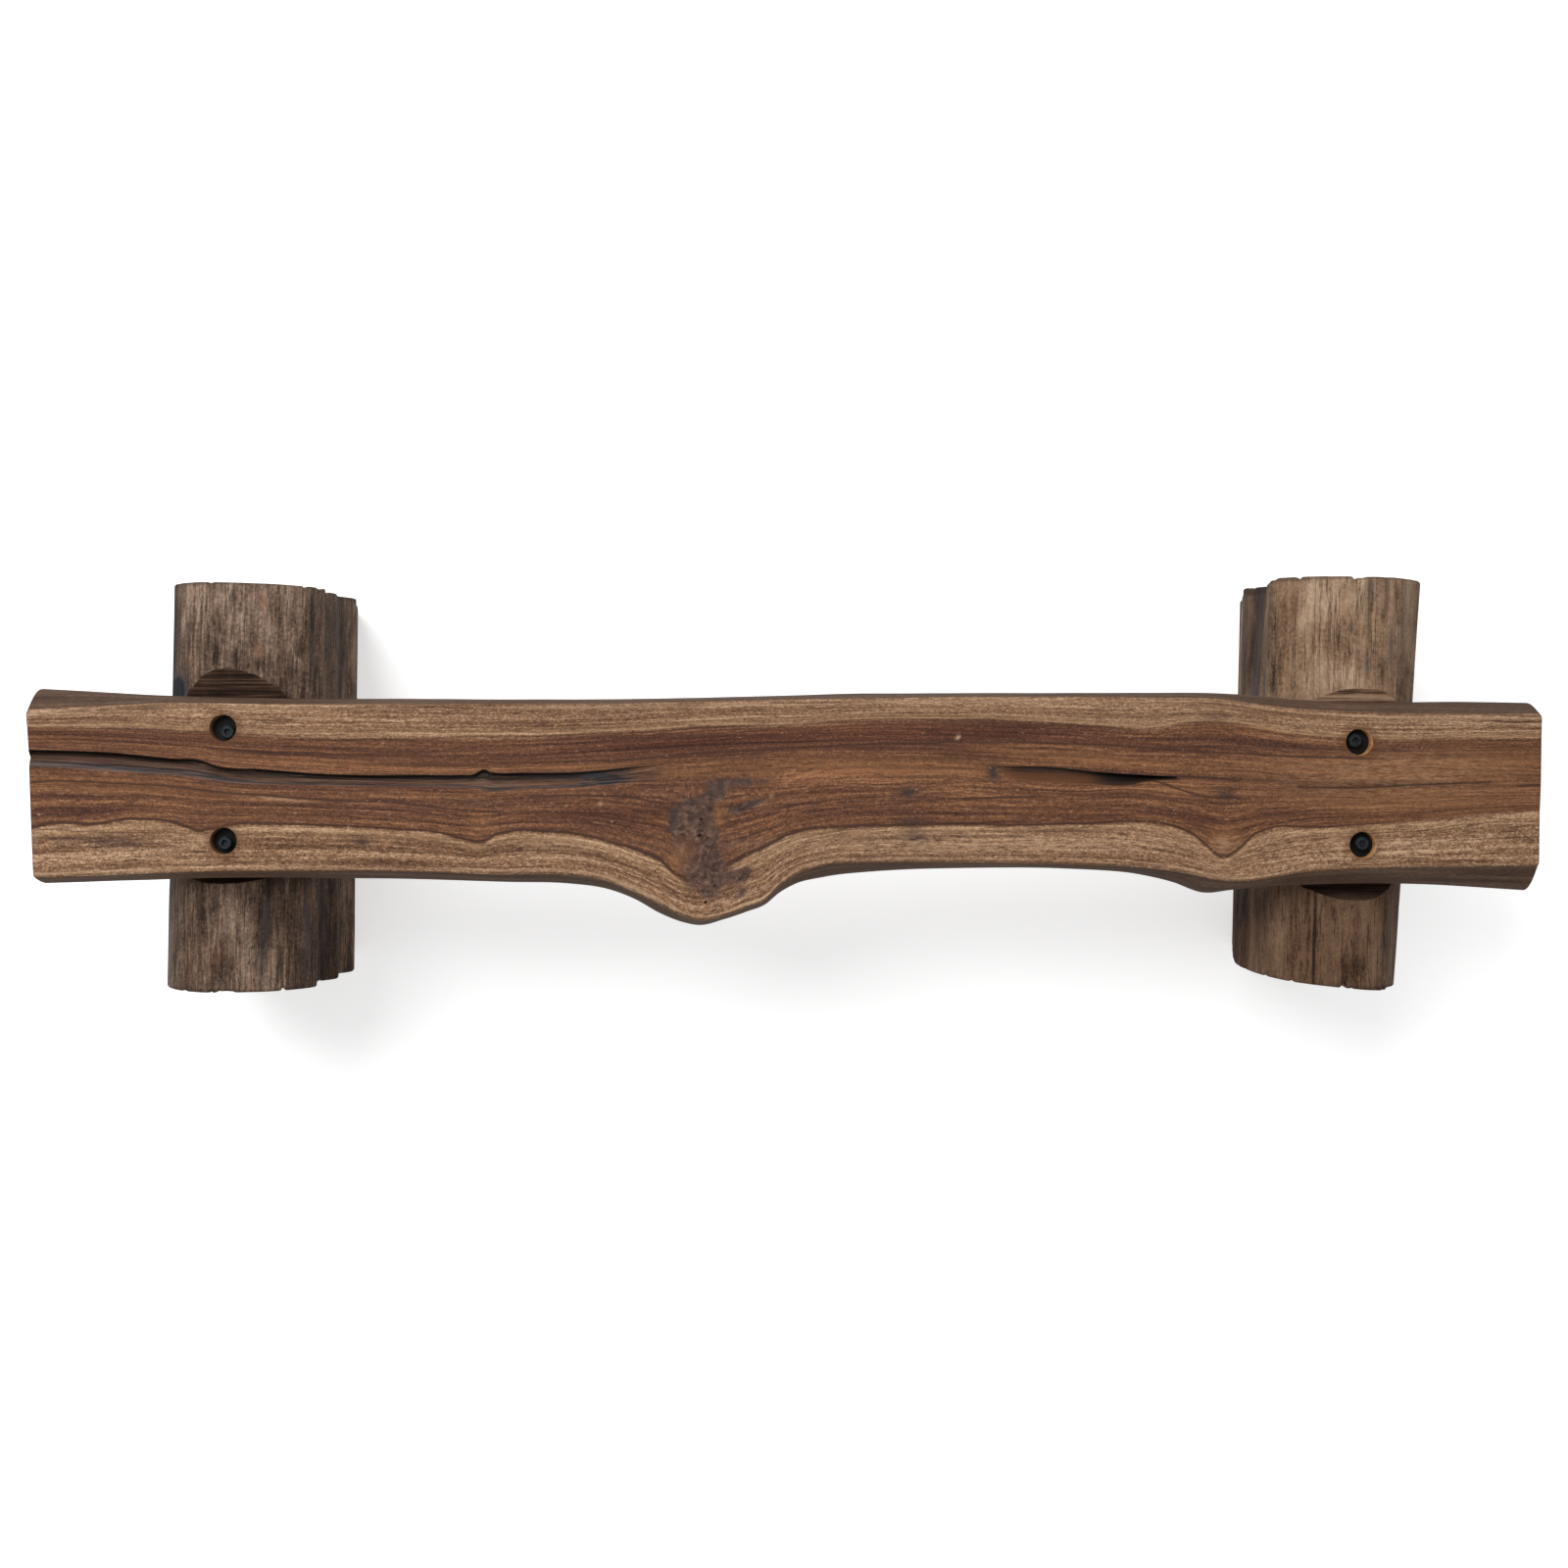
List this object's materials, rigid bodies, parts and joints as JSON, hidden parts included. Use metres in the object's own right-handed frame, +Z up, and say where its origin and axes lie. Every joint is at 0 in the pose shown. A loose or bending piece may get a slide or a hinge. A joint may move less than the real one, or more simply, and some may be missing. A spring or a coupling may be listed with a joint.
{
  "type": "rustic log bench",
  "caption": "Backless bench: a live-edge teak plank bolted into saddle notches in fluted teak logs that lie flat side down.",
  "frame": {"origin": "on the floor, in the middle of the bench's length and depth", "axes": "+X along the bench to the right of someone facing its front, +Y from front to back, +Z up"},
  "size_m": [1.5, 0.4346, 0.43],
  "materials": {
    "seat_wood": "sawn and sanded teak, oiled and weathered, with a pale sap edge",
    "log_wood": "fluted teak log with the bark off, weathered grey-brown",
    "black_steel": "black oxide",
    "zinc_steel": "zinc plated"
  },
  "bodies": {
    "root": {"seat_plank": "seat_wood", "left_log": "log_wood", "right_log": "log_wood", "bolt_left_back": "black_steel", "bolt_left_front": "black_steel", "bolt_right_back": "black_steel", "bolt_right_front": "black_steel", "washer_left_back": "black_steel", "washer_left_front": "black_steel", "washer_right_back": "black_steel", "washer_right_front": "black_steel", "insert_left_back": "zinc_steel", "insert_left_front": "zinc_steel", "insert_right_back": "zinc_steel", "insert_right_front": "zinc_steel"}
  },
  "joints": []
}
